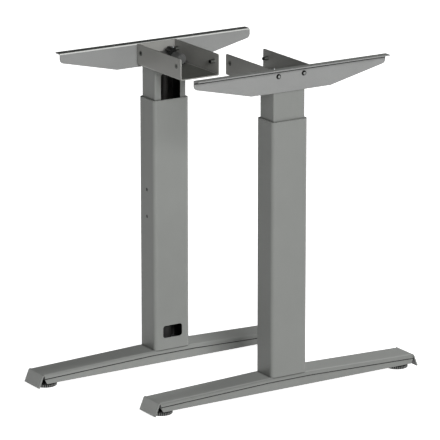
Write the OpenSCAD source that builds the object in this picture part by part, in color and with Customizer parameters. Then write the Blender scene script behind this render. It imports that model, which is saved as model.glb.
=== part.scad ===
// Frame of a height-adjustable desk: two lifting columns on pressed steel feet.
// Each leg is drawn about its own column, with local +X towards the other leg.

/* [Placing] */
// Distance between the two columns across the desk
leg_spacing = 300; // [300:1:1400]
// How far the right leg stands behind the left one
leg_stagger = 112; // [0:1:200]

/* [Foot] */
// Length of the foot's side flanges
foot_l = 650; // [450:1:900]
// Width of the foot over its side flanges
foot_w = 68.5; // [66:0.5:90]
// Thickness of the foot's sheet
foot_wall = 3; // [2:0.5:4]
// Height of the foot's top under the column
foot_top = 42; // [38:0.5:60]
// How much lower the foot's top is at its ends
foot_fall = 8; // [0:0.5:10]
// Height of the side flanges' lower edge above the floor
foot_clear = 14; // [13:0.5:18]
// Outer radius of the foot's long bends
foot_bend = 7.5; // [4:0.5:12]
// Half of the level stretch under the column
foot_level = 55; // [50:1:90]
// How much shorter the side flanges are at their lower edge
flange_slant = 5.5; // [0:0.5:8]
// Width of the line pressed in below each long bend
line_w = 2.2; // [1:0.1:3]
// Depth of that line
line_deep = 0.9; // [0.2:0.1:1.5]
// How far the end flaps lean out from upright, in degrees
flap_splay = 22; // [0:1:40]
// Width of the end flaps
flap_w = 63; // [40:0.5:66]
// Height of the end flaps' lower edge above the floor
flap_clear = 5; // [3:0.5:12]
// Outer radius of the bend into each end flap
flap_bend = 6; // [4:0.5:12]

/* [Levellers] */
// Diameter of the knurled disc
disc_d = 50; // [40:1:60]
// Height of the knurled disc's top above the floor
disc_top = 10; // [8:0.5:11]
// Number of ribs round the disc
disc_ribs = 36; // [20:1:60]
// Depth of the ribs
rib_depth = 1.5; // [0.5:0.1:2]
// Diameter of the rubber sole
sole_d = 40; // [30:1:44]
// Thickness of the rubber sole
sole_t = 3; // [2:0.5:4]
// Diameter of the leveller's stud
stud_d = 8; // [6:1:10]
// Distance from the side flanges' ends to the stud
stud_inset = 20; // [15:1:60]

/* [Column] */
// Width of the outer tube across the desk
tube_w = 64.8; // [60:0.1:66]
// Depth of the outer tube along the foot
tube_d = 90; // [85:0.5:110]
// Length of the outer tube
tube_l = 566; // [500:1:650]
// Outer corner radius of the outer tube
tube_r = 9; // [9:0.5:12]
// Wall of both tubes
tube_wall = 1.8; // [1.5:0.1:2]
// Step from the outer tube's face to the inner tube's face
tube_step = 5.1; // [4.5:0.1:5.5]
// Outer corner radius of the inner tube
inner_r = 4; // [3:0.5:5]
// How much of the inner tube stands out of the outer one at rest
exposed = 69.5; // [66:0.5:120]
// How far the column lowers from rest
lower_travel = 60; // [40:1:62]
// How far the column rises from rest
raise_travel = 360; // [200:1:370]

/* [Cable openings] */
// Width of the cable cut-out at the outer tube's foot
cutout_w = 48.5; // [30:0.5:56]
// Height of the cable cut-out
cutout_h = 28; // [20:1:60]
// Corner radius of the cable openings
cutout_r = 6; // [2:0.5:9]
// Height of the cut-out above the tube's foot
cutout_up = 26; // [15:1:60]
// Height of the inner tube's cable window
window_h = 90; // [80:1:110]

/* [Head] */
// How far the head channel stands out past the outer tube on each side
channel_out = 3.7; // [2.5:0.1:15]
// Height of the head channel
channel_h = 46.9; // [45:0.1:60]
// Length of the head channel from its end wall
channel_l = 179.1; // [160:0.1:260]
// Sheet of the head channel
channel_wall = 2.4; // [2:0.1:3]
// Outer bend radius of the head channel
channel_bend = 4; // [3:0.5:6]
// Distance from the column's centre to the bracket's outer face
web_x = 33.4; // [31:0.1:45]
// Length of the worktop bracket
bracket_l = 482.8; // [400:0.1:700]
// Height of the bracket in its middle
bracket_h = 52.7; // [40:0.1:58]
// Height of the bracket at its ends
bracket_end_h = 20.5; // [18:0.1:30]
// Half of the bracket's straight lower edge
bracket_straight = 100; // [60:1:150]
// Width of the bracket's top flange
flange_w = 17.7; // [15:0.1:30]
// Sheet of the bracket
bracket_wall = 2.5; // [2:0.1:3]
// Corner radius at the bracket's lower ends
bracket_r = 10; // [4:0.5:12]
// Diameter of the worktop screw holes
worktop_hole_d = 5.5; // [4:0.5:7]
// Distance between the outer pair of worktop holes
worktop_outer = 430; // [300:1:440]
// Distance between the inner pair of worktop holes
worktop_inner = 200; // [100:1:260]

/* [Drive] */
// Diameter of the lifting spindle
spindle_d = 16; // [14:0.5:20]
// Diameter of the post that holds the spindle nut
post_d = 28; // [24:0.5:34]
// Diameter of the worm wheel on the spindle
wheel_d = 27.4; // [26:0.2:29]
// Diameter of the worm
worm_d = 10; // [9:0.5:11]
// Diameter of the motor
motor_d = 24; // [22:0.5:26]
// Length of the motor's can
motor_l = 20; // [18:1:60]
// Height of the gear case's hood
hood_h = 35; // [32:0.5:42]

/* [Hidden] */
SIDES = ["left", "right"];

$fn = 48;
over = 1;
fit_gap = 0.05;
soft_gap = 0.3;

// Outer tube's inside and the inner tube that slides in it
inner_w = tube_w - 2 * tube_step;
inner_d = tube_d - 2 * tube_step;
tube_top = foot_top + tube_l;
head_z = tube_top + exposed;
base_t = 8;
base_inset = 0.1;
base_top = foot_top + base_t;
inner_room = 15;
inner_bottom = base_top + inner_room + lower_travel;
glide_t = tube_step - tube_wall - soft_gap;
glide_l = 288;
glide_drop = 0.5;
glide_edge = 4;

// Foot
foot_half = foot_l / 2;
foot_end_top = foot_top - foot_fall;
foot_slope = atan(foot_fall / (foot_half - foot_level));
foot_reach = 2 * foot_l;
line_drop = 0.4;
line_lap = 5;
slant_top = foot_end_top - foot_bend - 2 * line_drop - line_w;

// The bend into a flap is a little thinner than its sheet and runs on inside the flap
bend_thinned = 0.02;
bend_on = 2;
flap_turn = 90 - flap_splay;
flap_inner = flap_bend - foot_wall;
flap_drop = foot_end_top - flap_bend + flap_inner * cos(flap_turn) - flap_clear;
flap_run = flap_drop / sin(flap_turn);
bolt_d = 8;
bolt_hole_gap = 0.25;
bolt_head_d = 14;
bolt_head_h = 5;
bolt_grip = 7;
bolt_hex_d = 5.8;
bolt_in_x = 14.4;
bolt_in_y = 15;
bolt_x = tube_w / 2 - bolt_in_x;
bolt_y = tube_d / 2 - bolt_in_y;

// Levellers
nut_d = 14;
stud_y = foot_half - stud_inset;
nut_fall = foot_fall * (stud_y + nut_d / 2 - foot_level) / (foot_half - foot_level);
nut_top = foot_top - nut_fall - foot_wall - fit_gap;
stud_room = 3;
stud_top = nut_top - stud_room;
disc_lift = 0.8;
pivot_d = 6;
pivot_l = 4;

// Guide pins in the tube's narrow face, measured down from its top
pin_first = 204;
pin_second = 265;
pin_head_d = 8;
pin_sunk = 0.4;
pin_stem_d = 4;
pin_stem_l = 0.8;
pin_slot = 3;
pin_slot_deep = 0.6;

// Cable window and head of the inner tube
head_t = 8;
window_land = 4.5;
window_spare = 0.5;
window_w = cutout_w + window_spare;
bearing_d = 28;
journal_d = 12;
column_screw_d = 6;
column_screw_in_x = 8.3;
column_screw_in_y = 6.4;
column_screw_x = inner_w / 2 - column_screw_in_x;
column_screw_y = inner_d / 2 - column_screw_in_y;
column_head_d = 10;
column_head_h = 4;
column_hex_d = 4.6;
column_hex_deep = 2.3;
spigot_d = 32;

// Head channel, measured from the column's centre
wall_x = web_x - bracket_wall;
channel_w = tube_d + 2 * channel_out;
channel_floor = head_z + channel_wall;
channel_top = head_z + channel_h;
channel_end = channel_l - wall_x;
set_screw_d = 6;
set_nut_d = 9;
set_nut_l = 9.5;
set_flange_d = 11;
set_flange_t = 0.8;
set_in = 15;
set_end = 17;
set_drop = 18;
hex_d = 3.4;
hex_deep = 3;
set_screw_l = 14.5;

// Bracket
bracket_rise = 1.2;
bracket_top = channel_top + bracket_rise;
bracket_bend = 3.5;
web_screw_d = 6;
web_screw_y = 32;
web_screw_drop = 17.7;
web_head_d = 11;
web_head_h = 3;
web_screw_l = 9;
web_hex_d = 4.6;

// Drive: the worm lies beside the spindle along the channel, level with its wheel
case_t = 3;
case_flange_t = 4;
case_room = 1.3;
case_edge = 5.5;
case_flange_w = 2 * (column_screw_x + case_edge);
case_flange_l = 2 * (column_screw_y + case_edge);
motor_rise = 0.5;
motor_z = channel_floor + case_flange_t + motor_rise + motor_d / 2;
wheel_t = 9;
wheel_z = motor_z - wheel_t / 2;
worm_y = wheel_d / 2 + soft_gap + worm_d / 2;
worm_l = 18;
case_r = wheel_d / 2 + case_room + case_t;
case_out = worm_y + worm_d / 2 + case_room + case_t;
case_back = 15;
motor_side = worm_y - motor_d / 2;
case_l = sqrt(pow(case_r, 2) - pow(motor_side, 2)) + motor_rise / 2;
case_top = wheel_z + wheel_t + case_room + case_t;
cover_h = 10.4;
cover_step = 2;
case_mid = case_top - cover_h;
hood_in = 2.5;
hood_near = worm_y - worm_d / 2 - cover_step;
hood_far = case_out - hood_in;
hood_back = case_back - hood_in;
hood_front = 8;
hood_slope = 5;
hood_fall = 6.5;
hood_top = channel_floor + hood_h;
case_bore = 18;
motor_end = case_l + motor_l;
motor_wall = 2;
motor_front = 3;
cap_l = 7;
cap_in = 0.6;
cap_step = 1.5;
shaft_d = 5;
shaft_bore_deep = 2;
shaft_back = case_back - case_t + shaft_bore_deep - fit_gap;
rotor_d = motor_d - 2 * motor_wall - 2 * case_room;
rotor_space = 2.5;
rotor_l = motor_l - motor_front - 2 * rotor_space;
nut_flange_d = 32;
nut_flange_t = 12;
nut_l = 30;
post_wall = 2.5;

// The thread clears the base plate at the bottom and still holds in the nut at the top
thread_room = 6.5;
nut_hold = 15.5;
thread_end = base_top + lower_travel + thread_room;
spindle_l = head_z - head_t - thread_end;
post_top = thread_end + raise_travel + nut_hold - nut_flange_t;
post_l = post_top - base_top;

// A leg's pieces stand about its column; the right leg is the left one turned half round
module at_leg(side) {
    turned = side == "right";
    translate([(turned ? 1 : -1) * leg_spacing / 2, (turned ? 1 : -1) * leg_stagger / 2])
        rotate([0, 0, turned ? 180 : 0])
            children();
}

// Rectangle with four round corners, about the origin
module round_rect(w, d, r) {
    square([w - 2 * r, d], center = true);
    square([w, d - 2 * r], center = true);
    for (x = [-1, 1], y = [-1, 1])
        translate([x * (w / 2 - r), y * (d / 2 - r)])
            circle(r);
}

// Slab from z up by h over a 2D outline
module slab(z, h) {
    translate([0, 0, z])
        linear_extrude(h)
            children();
}

// Square hole with round corners, cut along X through the wall that starts at x
module side_cut(x, w, h, r, z) {
    translate([x - over, 0, z + h / 2])
        rotate([90, 0, 90])
            linear_extrude(tube_wall + 2 * over)
                round_rect(w, h, r);
}

// Round tube standing on z
module pipe(z, h, d, bore) {
    difference() {
        slab(z, h) circle(d / 2);
        slab(z - over, h + 2 * over) circle(bore / 2);
    }
}

// Pressed foot: upside-down U with round top edges, drawn downwards from its top face
module foot_section(inset) {
    half = foot_w / 2 - inset;
    r = foot_bend - inset;
    translate([-half, -foot_reach - inset])
        square([2 * half, foot_reach - r]);
    translate([-half + r, -foot_reach - inset])
        square([2 * half - 2 * r, foot_reach]);
    for (x = [-1, 1])
        translate([x * (half - r), -inset - r])
            circle(r);
}

// One straight run through the edge of the foot's level stretch, of what is drawn from its top face
module foot_run(fall) {
    translate([0, foot_level, foot_top])
        rotate([90 - fall, 0, 0])
            linear_extrude(2 * foot_reach, center = true)
                children();
}

// The foot's level middle, cut back by an arm that falls away on each side
module foot_form(inset) {
    intersection() {
        foot_run(0)
            foot_section(inset);
        foot_run(foot_slope)
            foot_section(inset);
        rotate([0, 0, 180])
            foot_run(foot_slope)
                foot_section(inset);
    }
}

// Side view of the foot's flanges, as a block across it
module flange_block() {
    low = foot_half - flange_slant;
    rotate([90, 0, 90])
        linear_extrude(2 * foot_w, center = true)
            polygon([
                [-low, foot_clear], [low, foot_clear],
                [foot_half, slant_top], [foot_half, 2 * foot_top],
                [-foot_half, 2 * foot_top], [-foot_half, slant_top]
            ]);
}

// Bars beside the flanges that press the line in, over one stretch of the foot
module line_bars(fall, from, to) {
    intersection() {
        foot_run(fall)
            for (x = [-1, 1])
                translate([x * foot_w / 2, -foot_bend - line_drop - line_w / 2])
                    square([2 * line_deep, line_w], center = true);
        translate([-foot_w, from, 0])
            cube([2 * foot_w, to - from, 2 * foot_top]);
    }
}

// Part of a ring of bent sheet, its centre at the origin, from upright over to the given turn
module bend(outer, sheet, turn) {
    intersection() {
        difference() {
            circle(outer);
            circle(outer - sheet);
        }
        polygon([[0, 0], [0, 2 * outer], [2 * outer, 2 * outer], [2 * outer, 2 * outer * tan(90 - turn)]]);
    }
}

// Top sheet running on past the side flanges and bent down
module end_flap() {
    rotate([90, 0, 90])
        linear_extrude(flap_w, center = true)
            translate([foot_half, foot_end_top - flap_bend]) {
                bend(flap_bend - bend_thinned, foot_wall - 2 * bend_thinned, flap_turn + bend_on);
                rotate(-flap_turn)
                    translate([0, flap_inner])
                        square([flap_run, foot_wall]);
            }
}

module at_bolts() {
    for (x = [-1, 1], y = [-1, 1])
        translate([x * bolt_x, y * bolt_y])
            children();
}

module foot() {
    color("#8a8c8a")
        difference() {
            union() {
                intersection() {
                    difference() {
                        foot_form(0);
                        foot_form(foot_wall);
                    }
                    flange_block();
                }
                for (turn = [0, 180])
                    rotate([0, 0, turn])
                        end_flap();
            }
            line_bars(0, -foot_level - line_lap, foot_level + line_lap);
            for (turn = [0, 180])
                rotate([0, 0, turn])
                    line_bars(foot_slope, foot_level - line_lap, foot_l);
            at_bolts()
                slab(foot_top - foot_wall - over, foot_wall + 2 * over)
                    circle(bolt_d / 2 + bolt_hole_gap);
        }
}

module foot_bolts() {
    color("#777a7a")
        at_bolts()
            difference() {
                union() {
                    slab(foot_top - foot_wall - bolt_head_h, bolt_head_h)
                        circle(bolt_head_d / 2);
                    slab(foot_top - foot_wall, foot_wall + bolt_grip)
                        circle(bolt_d / 2);
                }
                slab(foot_top - foot_wall - bolt_head_h - over, over + hex_deep)
                    circle(bolt_hex_d / 2, $fn = 6);
            }
}

// Threaded sleeves welded under the foot's top sheet
module leveller_nuts() {
    color("#777a7a")
        for (y = [-1, 1])
            translate([0, y * stud_y])
                pipe(foot_clear, nut_top - foot_clear, nut_d, stud_d + 2 * fit_gap);
}

module base_plate() {
    color("#777a7a")
        difference() {
            slab(foot_top, base_t)
                round_rect(
                    tube_w - 2 * (tube_wall + base_inset),
                    tube_d - 2 * (tube_wall + base_inset),
                    tube_r - tube_wall
                );
            at_bolts()
                slab(foot_top - over, base_t + 2 * over)
                    circle(bolt_d / 2 + fit_gap);
        }
}

// Rectangular tube standing on z
module rect_tube(z, h, w, d, r) {
    difference() {
        slab(z, h)
            round_rect(w, d, r);
        slab(z - over, h + 2 * over)
            round_rect(w - 2 * tube_wall, d - 2 * tube_wall, r - tube_wall);
    }
}

// Turns what follows to lie along Y at the guide pins' heights, from the tube's middle
module at_pins() {
    for (drop = [pin_first, pin_second])
        translate([0, 0, tube_top - drop])
            rotate([90, 0, 0])
                children();
}

module outer_tube() {
    color("#8a8c8a")
        difference() {
            rect_tube(foot_top, tube_l, tube_w, tube_d, tube_r);
            side_cut(tube_w / 2 - tube_wall, cutout_w, cutout_h, cutout_r, foot_top + cutout_up);
            at_pins()
                slab(tube_d / 2 - tube_wall - over, tube_wall + 2 * over)
                    circle(pin_head_d / 2 + fit_gap);
        }
}

module glide_strips() {
    strip_x = tube_w - 2 * tube_r - glide_edge;
    strip_y = tube_d - 2 * tube_r - 2 * glide_edge;
    strip_z = tube_top - glide_drop - glide_l;
    color("#2b2b2a")
        difference() {
            for (turn = [0, 180])
                rotate([0, 0, turn]) {
                    translate([tube_w / 2 - tube_wall - glide_t, -strip_y / 2, strip_z])
                        cube([glide_t, strip_y, glide_l]);
                    translate([-strip_x / 2, tube_d / 2 - tube_wall - glide_t, strip_z])
                        cube([strip_x, glide_t, glide_l]);
                }
            at_pins()
                slab(tube_d / 2 - tube_wall - glide_t - over, glide_t + 2 * over)
                    circle(pin_stem_d / 2 + fit_gap);
        }
}

module guide_pins() {
    color("#3a3b3a")
        at_pins()
            difference() {
                union() {
                    slab(tube_d / 2 - tube_wall, tube_wall - pin_sunk)
                        circle(pin_head_d / 2);
                    slab(tube_d / 2 - tube_wall - pin_stem_l, pin_stem_l)
                        circle(pin_stem_d / 2);
                }
                slab(tube_d / 2 - pin_sunk - pin_slot_deep, pin_slot_deep + over)
                    circle(pin_slot / 2, $fn = 6);
            }
}

module nut_post() {
    color("#777a7a")
        pipe(base_top, post_l, post_d, post_d - 2 * post_wall);
}

module spindle_nut() {
    color("ivory")
        difference() {
            union() {
                slab(post_top, nut_flange_t)
                    circle(nut_flange_d / 2);
                slab(post_top + nut_flange_t - nut_l, nut_l - nut_flange_t)
                    circle(post_d / 2 - post_wall - fit_gap);
            }
            slab(post_top + nut_flange_t - nut_l - over, nut_l + 2 * over)
                circle(spindle_d / 2 + fit_gap);
        }
}

module inner_tube() {
    color("#8a8c8a")
        difference() {
            rect_tube(inner_bottom, head_z - inner_bottom, inner_w, inner_d, inner_r);
            side_cut(
                inner_w / 2 - tube_wall, window_w, window_h, cutout_r,
                head_z - head_t - window_land - window_h
            );
        }
}

module at_column_screws() {
    for (x = [-1, 1], y = [-1, 1])
        translate([x * column_screw_x, y * column_screw_y])
            children();
}

module head_plate() {
    color("#777a7a")
        difference() {
            slab(head_z - head_t, head_t)
                round_rect(
                    inner_w - 2 * (tube_wall + base_inset),
                    inner_d - 2 * (tube_wall + base_inset),
                    inner_r - tube_wall
                );
            slab(head_z - head_t - over, head_t + 2 * over) {
                circle(bearing_d / 2 + fit_gap);
                at_column_screws()
                    circle(column_screw_d / 2 + fit_gap);
            }
        }
}

module bearing() {
    color("#b4b6b8")
        pipe(head_z - head_t, head_t, bearing_d, journal_d + 2 * fit_gap);
}

// U outline with round lower corners, open on top
module u_outline(inset, top) {
    half = channel_w / 2 - inset;
    r = channel_bend - inset;
    translate([-half, inset + r])
        square([2 * half, top - inset - r]);
    translate([-half + r, inset])
        square([2 * half - 2 * r, top - inset]);
    for (y = [-1, 1])
        translate([y * (half - r), inset + r])
            circle(r);
}

// Places what follows at the four set screws, lying inwards along the wall's normal from its outer face
module at_set_screws() {
    for (x = [set_in - wall_x, channel_end - set_end], turn = [0, 180])
        translate([x, 0, channel_top - set_drop])
            rotate([90, 0, turn])
                translate([0, 0, -channel_w / 2])
                    children();
}

// Places what follows at the two bracket screws, along X from the bracket's outer face inwards
module at_web_screws() {
    for (y = [-1, 1])
        translate([-web_x, y * web_screw_y, bracket_top - web_screw_drop])
            rotate([0, 90, 0])
                children();
}

module channel() {
    color("#75776f")
        difference() {
            translate([-wall_x, 0, head_z])
                rotate([90, 0, 90]) {
                    linear_extrude(channel_l)
                        difference() {
                            u_outline(0, channel_h);
                            u_outline(channel_wall, channel_h + over);
                        }
                    linear_extrude(channel_wall)
                        u_outline(0, channel_h);
                }
            slab(head_z - over, channel_wall + 2 * over) {
                circle(spigot_d / 2 + fit_gap);
                at_column_screws()
                    circle(column_screw_d / 2 + fit_gap);
            }
            at_set_screws()
                slab(-over, channel_wall + 2 * over)
                    circle(set_nut_d / 2 + fit_gap);
            at_web_screws()
                slab(bracket_wall - over, channel_wall + 2 * over)
                    circle(web_screw_d / 2 + fit_gap);
            translate([channel_end - channel_bend, channel_w, channel_top - channel_bend])
                rotate([90, 0, 0])
                    linear_extrude(2 * channel_w)
                        difference() {
                            square(channel_bend + over);
                            circle(channel_bend);
                        }
        }
}

module set_nuts() {
    color("#8f9294")
        at_set_screws()
            difference() {
                union() {
                    slab(-set_flange_t, set_flange_t)
                        circle(set_flange_d / 2);
                    slab(0, channel_wall + set_nut_l)
                        circle(set_nut_d / 2);
                }
                slab(-set_flange_t - over, channel_wall + set_nut_l + set_flange_t + 2 * over)
                    circle(set_screw_d / 2 + fit_gap);
            }
}

module set_screws() {
    color("#3a3b3a")
        at_set_screws()
            difference() {
                slab(0, set_screw_l)
                    circle(set_screw_d / 2);
                slab(-over, over + hex_deep)
                    circle(hex_d / 2, $fn = 6);
            }
}

// Half of the bracket's web, its top at zero, with a round lower corner
module web_half() {
    fall = atan((bracket_h - bracket_end_h) / (bracket_l / 2 - bracket_straight));
    centre_y = bracket_l / 2 - bracket_r;
    centre_z = -bracket_end_h - bracket_r * tan(fall) + bracket_r / cos(fall);
    polygon([
        [0, -bracket_bend],
        [bracket_l / 2, -bracket_bend],
        [bracket_l / 2, centre_z],
        [centre_y + bracket_r * sin(fall), centre_z - bracket_r * cos(fall)],
        [bracket_straight, -bracket_h],
        [0, -bracket_h]
    ]);
    translate([centre_y, centre_z])
        circle(bracket_r);
}

module bracket() {
    color("#8a8c8a")
        difference() {
            union() {
                translate([-web_x, 0, bracket_top])
                    rotate([90, 0, 90])
                        linear_extrude(bracket_wall)
                            for (turn = [0, 1])
                                mirror([turn, 0])
                                    web_half();
                translate([-wall_x - bracket_bend, 0, bracket_top - bracket_bend])
                    rotate([90, 0, 0])
                        linear_extrude(bracket_l, center = true) {
                            bend(bracket_bend, bracket_wall, 90);
                            translate([bracket_bend - bracket_wall - flange_w, bracket_bend - bracket_wall])
                                square([flange_w + bracket_wall - bracket_bend, bracket_wall]);
                        }
            }
            for (pitch = [worktop_inner, worktop_outer], y = [-1, 1])
                translate([-web_x - flange_w / 2, y * pitch / 2])
                    slab(bracket_top - bracket_wall - over, bracket_wall + 2 * over)
                        circle(worktop_hole_d / 2);
            at_web_screws()
                slab(-over, bracket_wall + 2 * over)
                    circle(web_screw_d / 2 + fit_gap);
        }
}

module bracket_screws() {
    color("#5a5c5c")
        at_web_screws()
            difference() {
                union() {
                    slab(-web_head_h, web_head_h)
                        circle(web_head_d / 2);
                    slab(0, web_screw_l)
                        circle(web_screw_d / 2);
                }
                slab(-web_head_h - over, over + web_head_h / 2)
                    circle(web_hex_d / 2, $fn = 6);
            }
}

// Outline of the gear case: round about the spindle, square about the worm
module case_outline(inset) {
    circle(case_r - inset);
    translate([inset - case_back, 0])
        square([case_back + case_l - 2 * inset, case_out - inset]);
}

// The cover's hood over the worm, its near edge sloped, with a wall left out of it
module hood(inset) {
    translate([inset - hood_back, 0])
        rotate([90, 0, 90])
            linear_extrude(hood_back + hood_front - 2 * inset)
                polygon([
                    [hood_near + inset, case_mid],
                    [hood_far - inset, case_mid],
                    [hood_far - inset, hood_top - inset],
                    [hood_near + hood_slope + inset / 2, hood_top - inset],
                    [hood_near + inset, hood_top - hood_fall - inset / 2]
                ]);
}

module at_motor() {
    translate([0, worm_y, motor_z])
        rotate([0, 90, 0])
            children();
}

module gear_case() {
    color("#2b2b2a")
        difference() {
            union() {
                slab(channel_floor, case_flange_t)
                    square([case_flange_w, case_flange_l], center = true);
                slab(channel_floor, case_mid - channel_floor)
                    case_outline(0);
                slab(head_z, channel_wall)
                    circle(spigot_d / 2);
            }
            slab(channel_floor + case_t, case_mid - channel_floor)
                case_outline(case_t);
            slab(head_z - over, channel_wall + case_t + 2 * over)
                circle(case_bore / 2);
            at_column_screws()
                slab(channel_floor - over, case_flange_t + 2 * over)
                    circle(column_screw_d / 2 + fit_gap);
            shaft_bores();
        }
}

// Bores of the worm's shaft: blind behind the worm, open towards the motor
module shaft_bores() {
    at_motor() {
        slab(case_t - case_back - shaft_bore_deep, shaft_bore_deep + over)
            circle(shaft_d / 2 + fit_gap);
        slab(case_l - case_t - over, case_t + 2 * over)
            circle(shaft_d / 2 + fit_gap);
    }
}

module gear_cover() {
    color("#2b2b2a")
        difference() {
            union() {
                slab(case_mid, cover_h - cover_step)
                    case_outline(0);
                slab(case_top - cover_step, cover_step)
                    case_outline(cover_step);
                hood(0);
            }
            slab(case_mid - over, over + cover_h - case_t)
                case_outline(case_t);
            translate([0, 0, -over])
                hood(case_t);
            shaft_bores();
        }
}

module column_screws() {
    color("#5a5c5c")
        at_column_screws()
            difference() {
                union() {
                    slab(channel_floor + case_flange_t, column_head_h)
                        circle(column_head_d / 2);
                    slab(head_z - head_t, head_t + channel_wall + case_flange_t)
                        circle(column_screw_d / 2);
                }
                slab(channel_floor + case_flange_t + column_head_h - column_hex_deep, column_hex_deep + over)
                    circle(column_hex_d / 2, $fn = 6);
            }
}

module motor() {
    color("#6f7173")
        at_motor()
            difference() {
                slab(case_l, motor_l)
                    circle(motor_d / 2);
                slab(case_l + motor_front, motor_l)
                    circle(motor_d / 2 - motor_wall);
                slab(case_l - over, motor_front + 2 * over)
                    circle(shaft_d / 2 + fit_gap);
            }
}

module motor_cap() {
    color("#2b2b2a")
        at_motor()
            difference() {
                union() {
                    slab(motor_end, cap_l - cap_step)
                        circle(motor_d / 2 - cap_in);
                    slab(motor_end + cap_l - cap_step, cap_step)
                        circle(motor_d / 2 - cap_in - cap_step);
                }
                slab(motor_end - over, over + cap_l / 2)
                    circle(shaft_d / 2 + bolt_hole_gap);
            }
}

module spindle() {
    color("#b4b6b8") {
        slab(head_z - head_t - spindle_l, spindle_l)
            circle(spindle_d / 2);
        slab(head_z - head_t, wheel_z + wheel_t + fit_gap - head_z + head_t)
            circle(journal_d / 2);
    }
}

module worm_wheel() {
    color("ivory")
        pipe(wheel_z, wheel_t, wheel_d, journal_d + fit_gap);
}

module drive_shaft() {
    color("#b4b6b8")
        at_motor() {
            slab(-worm_l / 2, worm_l)
                circle(worm_d / 2);
            slab(-shaft_back, shaft_back + motor_end + cap_l / 2 - rotor_space / 2)
                circle(shaft_d / 2);
        }
}

module rotor() {
    color("#9a5a32")
        at_motor()
            pipe(case_l + motor_front + rotor_space, rotor_l, rotor_d, shaft_d + fit_gap);
}

// The stud nearer the viewer is the front one on either leg
module at_stud(side, end) {
    along = (side == "left") == (end == "rear");
    at_leg(side)
        translate([0, along ? stud_y : -stud_y])
            children();
}

// Knurled disc on a threaded stud, hollow underneath for the sole
module leveller() {
    color("#3a3b3a")
        difference() {
            union() {
                slab(disc_lift, disc_top - disc_lift)
                    polygon([
                        for (i = [0 : 2 * disc_ribs - 1])
                            let (r = disc_d / 2 - (i % 2) * rib_depth, a = 180 * i / disc_ribs)
                                [r * cos(a), r * sin(a)]
                    ]);
                slab(disc_top, stud_top - disc_top)
                    circle(stud_d / 2);
            }
            slab(disc_lift - over, over + sole_t + soft_gap - disc_lift)
                circle(sole_d / 2 + soft_gap);
            slab(0, sole_t + pivot_l + soft_gap)
                circle(pivot_d / 2 + fit_gap);
        }
}

module sole() {
    color("#1f1f1f") {
        slab(0, sole_t)
            circle(sole_d / 2);
        slab(sole_t, pivot_l)
            circle(pivot_d / 2);
    }
}

for (side = SIDES) {
    at_leg(side) foot();
    at_leg(side) foot_bolts();
    at_leg(side) leveller_nuts();
    at_leg(side) base_plate();
    at_leg(side) outer_tube();
    at_leg(side) glide_strips();
    at_leg(side) guide_pins();
    at_leg(side) nut_post();
    at_leg(side) spindle_nut();
    at_leg(side) inner_tube();
    at_leg(side) head_plate();
    at_leg(side) channel();
    at_leg(side) bracket();
    at_leg(side) bracket_screws();
    at_leg(side) set_screws();
    at_leg(side) set_nuts();
    at_leg(side) column_screws();
    at_leg(side) bearing();
    at_leg(side) gear_case();
    at_leg(side) gear_cover();
    at_leg(side) motor();
    at_leg(side) motor_cap();
    at_leg(side) spindle();
    at_leg(side) worm_wheel();
    at_leg(side) drive_shaft();
    at_leg(side) rotor();
    at_stud(side, "front") leveller();
    at_stud(side, "front") sole();
    at_stud(side, "rear") leveller();
    at_stud(side, "rear") sole();
}
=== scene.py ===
import math

import bmesh
import bpy
from mathutils import Matrix, Vector


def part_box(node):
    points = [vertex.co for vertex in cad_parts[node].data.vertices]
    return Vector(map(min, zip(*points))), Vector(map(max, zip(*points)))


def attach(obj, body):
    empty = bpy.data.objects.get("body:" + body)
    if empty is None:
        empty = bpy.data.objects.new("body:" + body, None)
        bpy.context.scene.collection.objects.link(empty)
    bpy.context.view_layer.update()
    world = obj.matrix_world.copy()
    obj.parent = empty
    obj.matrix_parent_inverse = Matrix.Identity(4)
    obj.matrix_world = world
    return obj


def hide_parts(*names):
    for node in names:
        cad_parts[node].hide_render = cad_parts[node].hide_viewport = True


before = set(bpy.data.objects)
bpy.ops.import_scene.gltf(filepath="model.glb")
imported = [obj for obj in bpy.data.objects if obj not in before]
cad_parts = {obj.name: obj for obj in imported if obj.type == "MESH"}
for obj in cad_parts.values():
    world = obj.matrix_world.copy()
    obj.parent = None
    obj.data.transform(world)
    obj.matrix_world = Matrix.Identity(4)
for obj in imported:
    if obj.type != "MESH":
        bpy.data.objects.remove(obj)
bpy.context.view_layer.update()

# Feet: one sheet of 3 mm mild steel per leg, cut by laser, pressed to an upside-down channel that
# falls to both ends, where its top sheet is bent down as a flap. Powder coated silver grey, and
# bolted to the column from below.
SIDES = ("left", "right")


def linear(code):
    """An sRGB hex colour such as #8a8c89 as linear red, green, blue and alpha."""
    parts = [int(code[i:i + 2], 16) / 255 for i in (1, 3, 5)]
    return [c / 12.92 if c <= 0.04045 else ((c + 0.055) / 1.055) ** 2.4 for c in parts] + [1.0]


def add(tree, kind, links=(), **settings):
    """Adds a node, sets its sockets or properties by name and links (socket, output) pairs into it."""
    made = tree.nodes.new(kind)
    for key, value in settings.items():
        if hasattr(made, key):
            setattr(made, key, value)
        else:
            made.inputs[key.replace("_", " ")].default_value = value
    for socket, output in links:
        tree.links.new(output, made.inputs[socket])
    return made


def surface(name):
    """A new material with only its output: (material, tree, output)."""
    material = bpy.data.materials.new(name)
    material.use_nodes = True
    tree = material.node_tree
    tree.nodes.clear()
    return material, tree, add(tree, "ShaderNodeOutputMaterial")


def blended(tree, factor, first, second):
    """Output of a colour that goes from first to second as factor goes from 0 to 1. Each is a hex code or an output."""
    mix = add(tree, "ShaderNodeMix", [("Factor", factor)], data_type="RGBA")
    for socket, colour in (("A", first), ("B", second)):
        place = [s for s in mix.inputs if s.name == socket and s.type == "RGBA"][0]
        if isinstance(colour, str):
            place.default_value = linear(colour)
        else:
            tree.links.new(colour, place)
    return [s for s in mix.outputs if s.type == "RGBA"][0]


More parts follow.
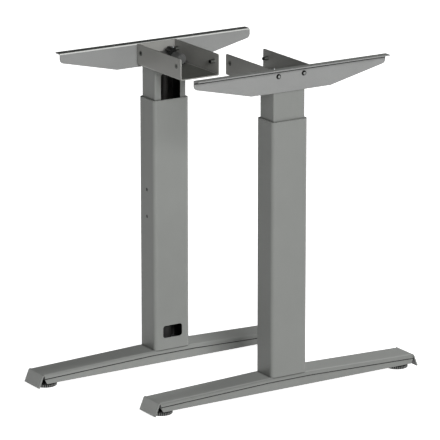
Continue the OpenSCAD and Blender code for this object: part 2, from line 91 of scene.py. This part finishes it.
def ranged(tree, value, low, high, at_low=0.0, at_high=1.0):
    """Output that goes from at_low to at_high while value goes from low to high."""
    step = add(tree, "ShaderNodeMapRange", [("Value", value)])
    for socket, number in (("From Min", low), ("From Max", high), ("To Min", at_low), ("To Max", at_high)):
        step.inputs[socket].default_value = number
    return step.outputs["Result"]


def near(tree, value, target, reach):
    """Output that is 1 where value is within reach of target, and else 0."""
    compared = add(tree, "ShaderNodeMath", [(0, value)], operation="COMPARE")
    compared.inputs[1].default_value = target
    compared.inputs[2].default_value = reach
    return compared.outputs["Value"]


def powder_coat(name, colour, cloudy, shaded_inside_at=None, top=None, bend=None, ends=None, groove=None, line=None,
                roughness=0.45):
    """Polyester powder coat: satin, an orange peel about 1.5 mm across, and faint clouds 80 mm across.

    When the middle of a hollow piece is given, (x, y) for a tube and (x, y, z) for a tray, it is coated outside, and
    its inside is painted a dark grey as painted shade. The tints top (faces that look up), bend (faces that slope up)
    and ends (faces that look along the piece) are painted light and shade: the real piece has one coat there. They are
    matched to the greys that the photograph shows there. So are the dark floor of a groove, (x of the piece's middle,
    distance from it), and a dark line, (middle of its height, half of it), which are painted shade.
    """
    material, tree, out = surface(name)
    place = add(tree, "ShaderNodeTexCoord").outputs["Object"]
    peel = add(tree, "ShaderNodeTexNoise", [("Vector", place)], Scale=1 / 0.0015, Detail=2.0)
    speck = add(tree, "ShaderNodeTexNoise", [("Vector", place)], Scale=1 / 0.0004, Detail=1.0)
    cloud = add(tree, "ShaderNodeTexNoise", [("Vector", place)], Scale=1 / 0.080, Detail=3.0)
    coat = blended(tree, cloud.outputs["Fac"], colour, cloudy)
    coat = blended(tree, ranged(tree, speck.outputs["Fac"], 0.62, 0.78, 0.0, 0.25), coat, "#c4c6c3")
    rough = ranged(tree, peel.outputs["Fac"], 0.3, 0.7, roughness - 0.05, roughness + 0.06)
    seen = add(tree, "ShaderNodeNewGeometry")
    smooth_look = add(tree, "ShaderNodeSeparateXYZ", [("Vector", seen.outputs["Normal"])])
    flat_look = add(tree, "ShaderNodeSeparateXYZ", [("Vector", seen.outputs["True Normal"])])
    spot = add(tree, "ShaderNodeSeparateXYZ", [("Vector", place)])
    upward_look = smooth_look.outputs["Z"]
    # Painted light and shade: faces that slope up take the bend tint, faces that look up the top tint, and faces that
    # look along the piece the ends tint.
    if bend:
        coat = blended(tree, ranged(tree, upward_look, 0.10, 0.25), coat, bend)
    if top:
        coat = blended(tree, ranged(tree, upward_look, 0.80, 0.95), coat, top)
    if ends:
        lengthwise = add(tree, "ShaderNodeMath", [(0, smooth_look.outputs["Y"])], operation="ABSOLUTE")
        coat = blended(tree, ranged(tree, lengthwise.outputs["Value"], 0.45, 0.60), coat, ends)
    # Painted shade: upright faces at the floor of the groove are painted near black.
    if groove:
        aside = add(tree, "ShaderNodeMath", [(0, spot.outputs["X"])], operation="SUBTRACT")
        aside.inputs[1].default_value = groove[0]
        off = add(tree, "ShaderNodeMath", [(0, aside.outputs["Value"])], operation="ABSOLUTE")
        upright = near(tree, flat_look.outputs["Z"], 0.0, 0.25)
        groove_shade_mask = add(tree, "ShaderNodeMath", [(0, near(tree, off.outputs["Value"], groove[1], 0.0003)), (1, upright)],
                       operation="MULTIPLY")
        coat = blended(tree, groove_shade_mask.outputs["Value"], coat, "#151615")
    # Painted shadow: a near-black band on faces that look sideways, at the given height.
    if line:
        sideways = add(tree, "ShaderNodeMath", [(0, flat_look.outputs["X"])], operation="ABSOLUTE")
        shadow_line_mask = add(tree, "ShaderNodeMath", [
            (0, near(tree, spot.outputs["Z"], *line)), (1, ranged(tree, sideways.outputs["Value"], 0.3, 0.4))],
            operation="MULTIPLY")
        coat = blended(tree, shadow_line_mask.outputs["Value"], coat, "#181918")
    # Painted shade: where ambient occlusion within 10 mm is strong, in corners and next to other parts, the coat is
    # darkened towards near black.
    corner = add(tree, "ShaderNodeAmbientOcclusion", Distance=0.010)
    corner.samples = 8
    coat = blended(tree, ranged(tree, corner.outputs["AO"], 0.35, 0.80, 0.65, 0.0), coat, "#101110")
    # Painted shade: faces that look in towards the middle of a hollow piece are painted dark grey.
    if shaded_inside_at:
        out_from = add(tree, "ShaderNodeVectorMath", [(0, place)], operation="SUBTRACT")
        out_from.inputs[1].default_value = (*shaded_inside_at, 0.0)[:3]
        flat = add(tree, "ShaderNodeVectorMath", [(0, out_from.outputs["Vector"])], operation="MULTIPLY")
        flat.inputs[1].default_value = (1.0, 1.0, len(shaded_inside_at) - 2.0)
        facing = add(tree, "ShaderNodeVectorMath", [(0, flat.outputs["Vector"]), (1, seen.outputs["True Normal"])],
                     operation="DOT_PRODUCT")
        inside = ranged(tree, facing.outputs["Value"], -0.012, -0.010, 1.0, 0.0)
        coat = blended(tree, inside, coat, "#1d1d1b")
    bump = add(tree, "ShaderNodeBump", [("Height", peel.outputs["Fac"])], Strength=0.10, Distance=0.0001)
    shader = add(tree, "ShaderNodeBsdfPrincipled", [
        ("Base Color", coat), ("Roughness", rough), ("Normal", bump.outputs["Normal"])], IOR=1.45)
    tree.links.new(shader.outputs["BSDF"], out.inputs["Surface"])
    return material


smoothing = bpy.data.node_groups.new("shade_smooth", "GeometryNodeTree")
smoothing.interface.new_socket("Geometry", in_out="INPUT", socket_type="NodeSocketGeometry")
smoothing.interface.new_socket("Geometry", in_out="OUTPUT", socket_type="NodeSocketGeometry")
smoothing_in = smoothing.nodes.new("NodeGroupInput")
smoothing_set = add(smoothing, "GeometryNodeSetShadeSmooth", [("Geometry", smoothing_in.outputs["Geometry"])])
add(smoothing, "NodeGroupOutput", [("Geometry", smoothing_set.outputs["Geometry"])])


def finish_edges(obj, width, segments=2):
    """Breaks the sharp edges by a small round, as deburring and coating do, and shades it smooth."""
    obj.modifiers.new("smooth_shading", "NODES").node_group = smoothing
    flat = obj.modifiers.new("join_facets", "DECIMATE")
    flat.decimate_type = "DISSOLVE"
    flat.angle_limit = math.radians(0.3)
    bevel = obj.modifiers.new("broken_edge", "BEVEL")
    bevel.width = width
    bevel.segments = segments
    bevel.limit_method = "ANGLE"
    bevel.angle_limit = math.radians(30)
    bevel.harden_normals = True
    obj.modifiers.new("weighted_normals", "WEIGHTED_NORMAL").keep_sharp = True


def dress(node, material, width, segments=2):
    """Gives a CAD node its material and broken edges."""
    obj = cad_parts[node]
    obj.data.materials.clear()
    obj.data.materials.append(material)
    finish_edges(obj, width, segments)


# Both legs have the same coat. The two sets of colours, and the tints below, are painted light and shade: they
# follow the photograph's greys, where the two legs are lit differently.
groove_depth = 0.0009
silver = {"left": ("#939592", "#8c8e8b"), "right": ("#888a87", "#828481")}
# Painted light: the foot's tops and its end flaps are painted lighter than the coat. Its groove floor and its inside
# are painted dark as shade.
foot_top_light = {"left": "#a8aaa7", "right": "#adafac"}
for side in SIDES:
    low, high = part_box(side + "_foot")
    centre = ((low[0] + high[0]) / 2, (low[1] + high[1]) / 2, 0.015)
    # Painted shade: where the near-black groove floor lies on each side of the foot.
    groove_shade_at = (centre[0], (high[0] - low[0]) / 2 - groove_depth)
    dress(side + "_foot", powder_coat("foot_coat_" + side, *silver[side], centre, top=foot_top_light[side],
                                      ends="#bdbfbc", groove=groove_shade_at), 0.0004)

# Base plate, foot bolts and leveller sleeves: plain steel, zinc plated. The plate is welded into
# the column's foot, the bolts come up through the pressed foot, and the sleeves are welded under it.


def metal(name, colour, darker, roughness=0.35, across=0.004):
    """Plated or ground metal: faint stains about across wide, and marks 0.3 mm apart."""
    material, tree, out = surface(name)
    place = add(tree, "ShaderNodeTexCoord").outputs["Object"]
    stain = add(tree, "ShaderNodeTexNoise", [("Vector", place)], Scale=1 / across, Detail=4.0)
    marks = add(tree, "ShaderNodeTexNoise", [("Vector", place)], Scale=1 / 0.0003, Detail=2.0)
    tone = blended(tree, ranged(tree, stain.outputs["Fac"], 0.35, 0.65), colour, darker)
    rough = ranged(tree, stain.outputs["Fac"], 0.3, 0.7, roughness, roughness + 0.12)
    bump = add(tree, "ShaderNodeBump", [("Height", marks.outputs["Fac"])], Strength=0.10, Distance=0.00005)
    shader = add(tree, "ShaderNodeBsdfPrincipled", [
        ("Base Color", tone), ("Roughness", rough), ("Normal", bump.outputs["Normal"])], Metallic=1.0)
    tree.links.new(shader.outputs["BSDF"], out.inputs["Surface"])
    return material


zinc = metal("zinc_plate", "#a9acae", "#8f9294")
for side in SIDES:
    dress(side + "_base_plate", zinc, 0.0005)
    dress(side + "_foot_bolts", zinc, 0.0004)
    dress(side + "_leveller_nuts", zinc, 0.0003)

# Levellers: a knurled disc of glass-filled nylon moulded onto an M8 stud, one at each end of a
# foot, screwed into the sleeve. Under it a rubber sole turns on a pin and stays still on the floor.


def revolved(name, rings, steps):
    """Closed mesh from rings of (radius function of angle, z), from the bottom centre to the top one."""
    mesh = bpy.data.meshes.new(name)
    build = bmesh.new()
    loops = []
    for radius, z in rings[1:-1]:
        loops.append([build.verts.new((radius(a) * math.cos(a), radius(a) * math.sin(a), z))
                      for a in (2 * math.pi * i / steps for i in range(steps))])
    low, high = build.verts.new((0, 0, rings[0][1])), build.verts.new((0, 0, rings[-1][1]))
    for lower, upper in zip(loops, loops[1:]):
        for i in range(steps):
            j = (i + 1) % steps
            build.faces.new((lower[i], lower[j], upper[j], upper[i]))
    for i in range(steps):
        j = (i + 1) % steps
        build.faces.new((loops[0][j], loops[0][i], low))
        build.faces.new((loops[-1][i], loops[-1][j], high))
    build.to_mesh(mesh)
    build.free()
    return mesh


def piece(name, mesh, place, body, material, stands_for=()):
    """Adds a mesh piece at place, riding on a body and standing for the CAD nodes it names, if any."""
    obj = bpy.data.objects.new(name, mesh)
    bpy.context.scene.collection.objects.link(obj)
    obj.matrix_world = Matrix.Translation(place)
    obj.data.materials.append(material)
    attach(obj, body)
    if stands_for:
        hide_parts(*stands_for)
    return obj


def level(radius):
    return lambda angle: radius


def ribbed(radius, depth, count):
    """Radius that dips between count narrow crests."""
    return lambda angle: radius - depth * abs(math.sin(angle * count / 2)) ** 0.7


def knurled_nylon():
    """Black nylon with light grey crests, as the photograph shows them. Why they are light isn't known."""
    material, tree, out = surface("knurled_nylon")
    place = add(tree, "ShaderNodeTexCoord").outputs["Object"]
    flat = add(tree, "ShaderNodeVectorMath", [(0, place)], operation="MULTIPLY")
    flat.inputs[1].default_value = (1.0, 1.0, 0.0)
    radius = add(tree, "ShaderNodeVectorMath", [(0, flat.outputs["Vector"])], operation="LENGTH")
    grain = add(tree, "ShaderNodeTexNoise", [("Vector", place)], Scale=1 / 0.0008, Detail=3.0)
    crest = ranged(tree, radius.outputs["Value"], 0.0240, 0.0248)
    tone = blended(tree, crest, "#131413", "#a6a8a5")
    bump = add(tree, "ShaderNodeBump", [("Height", grain.outputs["Fac"])], Strength=0.15, Distance=0.0001)
    rough = ranged(tree, crest, 0.0, 1.0, 0.55, 0.35)
    shader = add(tree, "ShaderNodeBsdfPrincipled", [
        ("Base Color", tone), ("Roughness", rough), ("Normal", bump.outputs["Normal"])], IOR=1.5)
    tree.links.new(shader.outputs["BSDF"], out.inputs["Surface"])
    return material


def rubber():
    """Black rubber, dull, with a dusty bloom."""
    material, tree, out = surface("rubber_sole")
    place = add(tree, "ShaderNodeTexCoord").outputs["Object"]
    bloom = add(tree, "ShaderNodeTexNoise", [("Vector", place)], Scale=1 / 0.003, Detail=4.0)
    tone = blended(tree, ranged(tree, bloom.outputs["Fac"], 0.4, 0.7), "#161616", "#242422")
    shader = add(tree, "ShaderNodeBsdfPrincipled", [("Base Color", tone)], Roughness=0.85, IOR=1.5)
    tree.links.new(shader.outputs["BSDF"], out.inputs["Surface"])
    return material


nylon = knurled_nylon()
sole_rubber = rubber()
rib_count, rib_depth, disc_r = 36, 0.0015, 0.025
for side in SIDES:
    for end in ("front", "rear"):
        name = f"{side}_{end}_leveller"
        low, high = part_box(name)
        axis = ((low[0] + high[0]) / 2, (low[1] + high[1]) / 2, 0.0)
        rings = [(level(0.0), 0.0033), (level(0.0203), 0.0033), (level(0.0203), low[2]),
                 (level(0.0225), low[2]), (ribbed(disc_r - 0.0008, 0.0008, rib_count), low[2] + 0.0004),
                 (ribbed(disc_r, rib_depth, rib_count), low[2] + 0.0010),
                 (ribbed(disc_r, rib_depth, rib_count), 0.0074),
                 (ribbed(disc_r - 0.0005, rib_depth, rib_count), 0.0080),
                 (level(0.0222), 0.0084), (level(0.0222), 0.0100), (level(0.0085), 0.0100), (level(0.0080), 0.0112),
                 (level(0.0040), 0.0112),
                 (level(0.0040), high[2]), (level(0.0), high[2])]
        disc = revolved(name + "_knob", rings, rib_count * 8)
        knob = piece(name + "_knob", disc, axis, name, nylon, [name])
        finish_edges(knob, 0.0002)
        dress(f"{side}_{end}_sole", sole_rubber, 0.0003)

# Outer tube: cold-drawn rectangular steel tube with a wall of 1.8 mm, coated outside, and painted dark grey inside
# as painted shade. The base plate is welded into its foot, and its cable cut-out faces the other leg. Plastic pins in
# its narrow faces hold the glide strips inside.


def plastic(name, colour, dusty, roughness=0.45, grain=0.0008):
    """Moulded plastic with a fine spark-eroded grain and a trace of dust."""
    material, tree, out = surface(name)
    place = add(tree, "ShaderNodeTexCoord").outputs["Object"]
    pits = add(tree, "ShaderNodeTexNoise", [("Vector", place)], Scale=1 / grain, Detail=3.0)
    dust = add(tree, "ShaderNodeTexNoise", [("Vector", place)], Scale=1 / 0.012, Detail=4.0)
    tone = blended(tree, ranged(tree, dust.outputs["Fac"], 0.45, 0.7), colour, dusty)
    rough = ranged(tree, pits.outputs["Fac"], 0.3, 0.7, roughness - 0.05, roughness + 0.08)
    bump = add(tree, "ShaderNodeBump", [("Height", pits.outputs["Fac"])], Strength=0.15, Distance=0.0001)
    shader = add(tree, "ShaderNodeBsdfPrincipled", [
        ("Base Color", tone), ("Roughness", rough), ("Normal", bump.outputs["Normal"])], IOR=1.5)
    tree.links.new(shader.outputs["BSDF"], out.inputs["Surface"])
    return material


tube_coat = {}
pin_plastic = plastic("pin_plastic", "#303130", "#3a3b3a")
glide_plastic = plastic("glide_plastic", "#b4b6b2", "#a9aba7", 0.35)
for side in SIDES:
    low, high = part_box(side + "_outer_tube")
    centre = ((low[0] + high[0]) / 2, (low[1] + high[1]) / 2)
    # Painted light and shade: this coat paints the tube's inside dark grey, and the left and right coats are a lighter
    # and a darker copy.
    tube_coat[side] = powder_coat("tube_coat_" + side, *silver[side], centre)
    dress(side + "_outer_tube", tube_coat[side], 0.0003)
    dress(side + "_guide_pins", pin_plastic, 0.0003)
    dress(side + "_glide_strips", glide_plastic, 0.0003)

# Nut post and spindle nut: a steel tube stands on the base plate and carries the acetal nut that
# the spindle climbs in.
# Painted shade: the nut post is painted near black, so that it stays dark inside the tube.
dark_steel = plastic("shade_black_post_steel", "#1d1d1c", "#181817", 0.70)
acetal = plastic("acetal", "#d9d5c8", "#cfcabb", 0.35)
for side in SIDES:
    dress(side + "_nut_post", dark_steel, 0.0003)
    dress(side + "_spindle_nut", acetal, 0.0005)

# Inner tube: slides in the outer one on the glide strips, with a cable window under the head.
# The head plate welded into its top carries the spindle's ball bearing.
bright_steel = metal("ground_steel", "#c2c4c6", "#aeb1b3", 0.22)
# Painted shade: the spindle is painted near black, so that it stays dark behind the inner tube's window.
shade_black_spindle = plastic("shade_black_spindle_steel", "#1b1a18", "#22211e", 0.70)
for side in SIDES:
    # The inner tube takes the outer tube's coat, so its inside is painted dark grey too: painted shade seen through its
    # window.
    dress(side + "_inner_tube", tube_coat[side], 0.0003)
    dress(side + "_head_plate", zinc, 0.0005)
    dress(side + "_bearing", bright_steel, 0.0003)
    dress(side + "_spindle", shade_black_spindle, 0.0003)
    dress(side + "_worm_wheel", acetal, 0.0004)

# Head channel: 2.4 mm sheet folded to a U with an end wall, in a slightly browner and darker coat,
# open towards the other leg. Steel rivet nuts in its walls take black set screws that clamp a rail.
# Painted light and shade: the left and right channel coats are a lighter and a darker copy of one coat. Faces that look
# up, such as the channel's floor, are painted darker.
taupe = {"left": ("#a4a4a0", "#9e9e9a"), "right": ("#91918e", "#8b8b88")}
nut_zinc = metal("rivet_nut_zinc", "#7b7d79", "#6e706c", 0.5)
black_oxide = metal("black_oxide_screw", "#232423", "#1b1b1b", 0.45)
for side in SIDES:
    dress(side + "_channel", powder_coat("channel_coat_" + side, *taupe[side], top="#656661"), 0.0003)
    dress(side + "_set_nuts", nut_zinc, 0.0003)
    dress(side + "_set_screws", black_oxide, 0.0003)

# Worktop bracket: 2.5 mm sheet cut to a long boat shape and bent once for the top flange, held to
# the channel's end wall by two button-head M6 screws with a hexagon socket.


def socket(radius):
    """Radius of a hexagon of that corner radius."""
    apothem = radius * math.cos(math.pi / 6)
    return lambda angle: apothem / math.cos((angle + math.pi / 6) % (math.pi / 3) - math.pi / 6)


button_r, socket_reach = 0.0055, 0.0026
# Depth below the bracket's top and half height of the painted shadow under the right flange.
shadow_line_below_top, shadow_line_half = 0.0078, 0.0017
socket_reflection_grey = metal("socket_reflection_grey", "#a4a6a4", "#8f918f", 0.4)
# Painted shade: the top of each bracket's flange is painted darker than the web, the left one much darker.
flange_top_shade = {"left": "#4c4e4c", "right": "#8c8e8b"}
# Painted highlight: the bend between each bracket's web and flange is painted lighter than the coat.
bend_highlight = {"left": "#d6d8d4", "right": "#a9aba7"}
head_rings = [(level(0.0), -0.0090), (level(0.0026), -0.0090), (level(0.0030), -0.0086), (level(0.0030), 0.0),
              (level(button_r), 0.0), (level(button_r), 0.0007), (level(0.0052), 0.0014), (level(0.0045), 0.0022),
              (level(0.0035), 0.0028), (level(0.0028), 0.0030), (socket(0.0024), 0.0030), (socket(0.0023), 0.0013),
              (level(0.0), 0.0013)]
for side in SIDES:
    # Painted shadow: the right bracket's web gets a dark band just under its flange, where the flange's shadow falls.
    flange_shadow_line = (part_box(side + "_bracket")[1][2] - shadow_line_below_top, shadow_line_half) if side == "right" else None
    dress(side + "_bracket", powder_coat("bracket_coat_" + side, "#939493", "#8c8d8c", top=flange_top_shade[side],
                                         bend=bend_highlight[side], line=flange_shadow_line), 0.0003)
    low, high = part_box(side + "_bracket_screws")
    outward = -1 if side == "left" else 1
    web_face = low[0] + 0.003 if side == "left" else high[0] - 0.003
    both = bpy.data.meshes.new(side + "_button_screws")
    build = bmesh.new()
    middle_z = (low[2] + high[2]) / 2
    for y in (low[1] + button_r, high[1] - button_r):
        one = revolved("button_screw", head_rings, 48)
        one.transform(Matrix.Translation((0.0, y, middle_z))
                      @ Matrix.Rotation(outward * math.pi / 2, 4, "Y"))
        build.from_mesh(one)
    # Painted light and shade: the faces in each hexagon socket get a light grey that stands for a reflection, and the
    # black head round it gives the dark ring of shade.
    for face in build.faces:
        spot = face.calc_center_median()
        nearest = min(abs(spot.y - low[1] - button_r), abs(spot.y - high[1] + button_r))
        if outward * spot.x > 0.0 and math.hypot(nearest, spot.z - middle_z) < socket_reach:
            face.material_index = 1
    build.to_mesh(both)
    build.free()
    screws = piece(side + "_button_screws", both, (web_face, 0.0, 0.0), side + "_lift", black_oxide,
                   [side + "_bracket_screws"])
    both.materials.append(socket_reflection_grey)
    finish_edges(screws, 0.0001)

# Gear case and cover: black glass-filled nylon, moulded with round edges, screwed through the
# channel's floor into the head plate. Inside, the motor's worm turns the wheel on the spindle.
# One bright screw stands on the hood.
case_plastic = plastic("case_plastic", "#191a19", "#222322", 0.30)
screw_in_x, screw_in_y = 0.0128, 0.0088
pan_rings = [(level(0.0), -0.001), (level(0.0020), -0.001), (level(0.0022), 0.0), (level(0.0022), 0.0008),
             (level(0.0018), 0.0014), (level(0.0010), 0.0016), (level(0.0009), 0.0009), (level(0.0), 0.0009)]
for side in SIDES:
    dress(side + "_gear_case", case_plastic, 0.0010, 3)
    dress(side + "_gear_cover", case_plastic, 0.0014, 3)
    dress(side + "_column_screws", black_oxide, 0.0004)
    low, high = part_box(side + "_gear_cover")
    tapping = revolved(side + "_cover_screw", pan_rings, 24)
    if side == "left":
        spot = (high[0] - screw_in_x, high[1] - screw_in_y, high[2])
    else:
        spot = (low[0] + screw_in_x, low[1] + screw_in_y, high[2])
    cover_screw = piece(side + "_cover_screw", tapping, spot, side + "_lift", bright_steel)
    finish_edges(cover_screw, 0.0001)

# Motor: a drawn steel can and end cap in dark grey paint, flanged to the gear case beside the
# column. Its wound rotor sits on the worm's shaft.
can_paint = plastic("can_paint", "#5a5b5a", "#626362", 0.38, 0.0015)
copper = metal("copper_winding", "#b8703c", "#9a5a32", 0.35, 0.0008)
for side in SIDES:
    dress(side + "_motor", can_paint, 0.0010, 3)
    dress(side + "_motor_cap", can_paint, 0.0010, 3)
    dress(side + "_drive_shaft", bright_steel, 0.0003)
    dress(side + "_rotor", copper, 0.0005)

# Studio: a white sweep that glows, so the floor stays white round the frame and lights it from
# below, soft lamps from the viewer's right, and the photograph's long lens.
floor_size = 12.0
floor_mesh = bpy.data.meshes.new("floor")
floor_mesh.from_pydata([(x * floor_size, y * floor_size, 0.0) for x, y in ((-1, -1), (1, -1), (1, 1), (-1, 1))],
                       [], [(0, 1, 2, 3)])
floor = bpy.data.objects.new("floor", floor_mesh)
bpy.context.scene.collection.objects.link(floor)

floor_seen = 1.0
floor_light = 0.0
floor_paint, tree, out = surface("studio_floor")
matte = add(tree, "ShaderNodeBsdfDiffuse")
matte.inputs["Color"].default_value = linear("#e6e6e6")
path = add(tree, "ShaderNodeLightPath")
direct = add(tree, "ShaderNodeMath", [(0, path.outputs["Is Camera Ray"]), (1, path.outputs["Is Glossy Ray"])],
             operation="MAXIMUM")
strength = ranged(tree, direct.outputs["Value"], 0.0, 1.0, floor_light, floor_seen)
glow = add(tree, "ShaderNodeEmission", [("Strength", strength)])
both = add(tree, "ShaderNodeAddShader", [(0, matte.outputs["BSDF"]), (1, glow.outputs["Emission"])])
tree.links.new(both.outputs["Shader"], out.inputs["Surface"])
floor_mesh.materials.append(floor_paint)

horizon_fill = 0.05
zenith_fill = 0.03
world = bpy.data.worlds.new("studio")
bpy.context.scene.world = world
world.use_nodes = True
tree = world.node_tree
tree.nodes.clear()
heading = add(tree, "ShaderNodeSeparateXYZ", [("Vector", add(tree, "ShaderNodeTexCoord").outputs["Generated"])])
dome = ranged(tree, heading.outputs["Z"], 0.05, 0.60, horizon_fill, zenith_fill)
path = add(tree, "ShaderNodeLightPath")
seen_or_fill = add(tree, "ShaderNodeMix", [(0, path.outputs["Is Camera Ray"]), (2, dome)])
seen_or_fill.inputs[3].default_value = 1.02
sky = add(tree, "ShaderNodeBackground", [("Strength", seen_or_fill.outputs[0])])
sky.inputs["Color"].default_value = (1.0, 1.0, 1.0, 1.0)
tree.links.new(sky.outputs["Background"], add(tree, "ShaderNodeOutputWorld").inputs["Surface"])


def lamp(name, place, aim, size, watts):
    """Soft square lamp at place, facing aim."""
    light = bpy.data.lights.new(name, "AREA")
    light.size = size
    light.energy = watts
    obj = bpy.data.objects.new(name, light)
    bpy.context.scene.collection.objects.link(obj)
    obj.location = place
    obj.rotation_mode = "QUATERNION"
    obj.rotation_quaternion = (Vector(aim) - Vector(place)).to_track_quat("-Z", "Y")


middle = (0.0, 0.0, 0.36)
key_watts = 365
side_watts = 260
lamp("key", (6.18, -1.43, 3.20), middle, 2.6, key_watts)
lamp("far_side", (0.0, 6.34, 3.32), middle, 1.6, side_watts)

camera_azimuth = math.radians(57.8)
camera_elevation = math.radians(15.45)
camera_distance = 8.0
back = Vector((math.sin(camera_azimuth) * math.cos(camera_elevation),
               -math.cos(camera_azimuth) * math.cos(camera_elevation),
               math.sin(camera_elevation)))
across = Vector((math.cos(camera_azimuth), math.sin(camera_azimuth), 0.0))
upward = back.cross(across)
aim = Vector((0.0, 0.0, 0.356)) - 0.0054 * across - 0.0010 * upward
lens_data = bpy.data.cameras.new("camera")
lens_data.sensor_width = 36.0
lens_data.lens = 301.5
lens_data.clip_end = 60.0
camera = bpy.data.objects.new("camera", lens_data)
bpy.context.scene.collection.objects.link(camera)
camera.location = aim + back * camera_distance
camera.rotation_mode = "QUATERNION"
camera.rotation_quaternion = (-back).to_track_quat("-Z", "Y")
bpy.context.scene.camera = camera
bpy.context.scene.view_settings.view_transform = "Standard"
